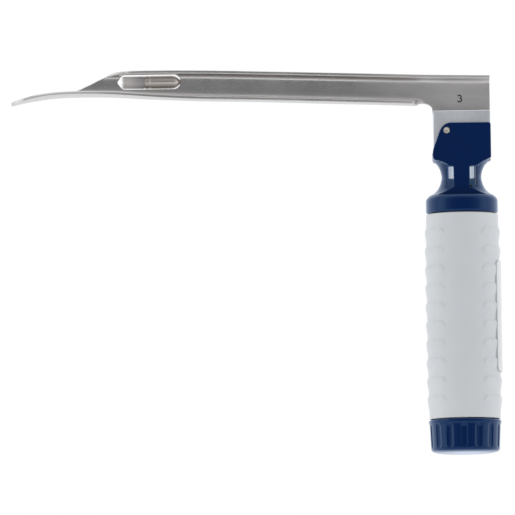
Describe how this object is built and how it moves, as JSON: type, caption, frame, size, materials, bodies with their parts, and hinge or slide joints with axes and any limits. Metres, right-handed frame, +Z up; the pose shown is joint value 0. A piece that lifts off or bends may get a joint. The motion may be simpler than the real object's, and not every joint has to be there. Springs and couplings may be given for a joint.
{
  "type": "laryngoscope",
  "caption": "Battery laryngoscope: straight steel blade with a lamp, hooked on a pin in a navy yoke head, on a pale ribbed handle with a fluted screw cap.",
  "frame": {"origin": "centre of the flat underside of the end cap, on the handle's axis", "axes": "+Z up along the handle's axis to the yoke head, -X along the blade towards its tip, +Y towards the back of the blade's web, where the light tube runs"},
  "size_m": [0.1983, 0.0295, 0.158],
  "materials": {
    "blade_steel": "satin",
    "block_steel": "satin",
    "lamp_metal": "turned",
    "lamp_glass": "frosted",
    "pin_steel": "matt",
    "spring_steel": "drawn",
    "contact_brass": "satin",
    "navy_plastic": "gloss",
    "white_grip": "satin",
    "label_film": "satin",
    "white_insulator": "satin",
    "black_insulator": "matt",
    "grey_plastic": "matt",
    "lead_cover": "satin",
    "cell_can": "gloss",
    "seal_rubber": "matt"
  },
  "bodies": {
    "handle": {"handle_head": "navy_plastic", "contact_housing": "white_insulator", "battery_terminal": "contact_brass", "ground_strip": "spring_steel", "core_tube": "grey_plastic", "grip_sleeve": "white_grip", "grip_label": "label_film", "battery_liner": "grey_plastic", "battery_lower": "cell_can", "battery_upper": "cell_can", "cap_seal": "seal_rubber", "plunger_spring": "spring_steel"},
    "hinge_pin": {"hinge_pin": "pin_steel"},
    "blade": {"blade_channel": "blade_steel", "heel_block": "block_steel", "light_tube": "blade_steel", "lamp_lead": "lead_cover", "lamp_base": "lamp_metal", "lamp_bulb": "lamp_glass", "block_insulator": "black_insulator", "block_contact": "contact_brass", "detent_spring": "spring_steel"},
    "detent_ball_front": {"detent_ball_front": "spring_steel"},
    "detent_ball_rear": {"detent_ball_rear": "spring_steel"},
    "contact_plunger": {"contact_plunger": "contact_brass"},
    "cap_travel": {"cap_spring": "spring_steel"},
    "end_cap": {"end_cap": "navy_plastic", "cap_contact_plate": "spring_steel"}
  },
  "joints": [
    {"name": "blade_fold", "type": "hinge", "parent": "handle", "child": "hinge_pin", "pos_m": [-0.00586, 0, 0.1309], "axis": [0, -1, 0], "range_deg": [0, 90], "stiffness_Nm_per_rad": 0.02, "springref_deg": -143.24},
    {"name": "blade_unhook", "type": "slide", "parent": "hinge_pin", "child": "blade", "axis": [-0.2588, 0, 0.9659], "range_m": [0, 0.012]},
    {"name": "detent_press", "type": "slide", "parent": "blade", "child": "detent_ball_front", "axis": [0, 1, 0], "range_m": [0, 0.0006], "stiffness_N_per_m": 2000},
    {"name": "detent_press_rear", "type": "slide", "parent": "blade", "child": "detent_ball_rear", "axis": [0, -1, 0], "range_m": [0, 0.0006]},
    {"name": "plunger_press", "type": "slide", "parent": "handle", "child": "contact_plunger", "axis": [0, 0, -1], "range_m": [0, 0.0012], "stiffness_N_per_m": 500, "deforming": ["plunger_spring"]},
    {"name": "cap_lift", "type": "slide", "parent": "handle", "child": "cap_travel", "axis": [0, 0, -1], "range_m": [0, 0.006]},
    {"name": "cap_unscrew", "type": "hinge", "parent": "cap_travel", "child": "end_cap", "pos_m": [0, 0, 0], "axis": [0, 0, -1], "range_deg": [0, 1080]}
  ],
  "couplings": [
    {"joint": "detent_press_rear", "follows": "detent_press", "ratio": 1},
    {"joint": "cap_unscrew", "follows": "cap_lift", "rad_per_m": 3141.6}
  ]
}
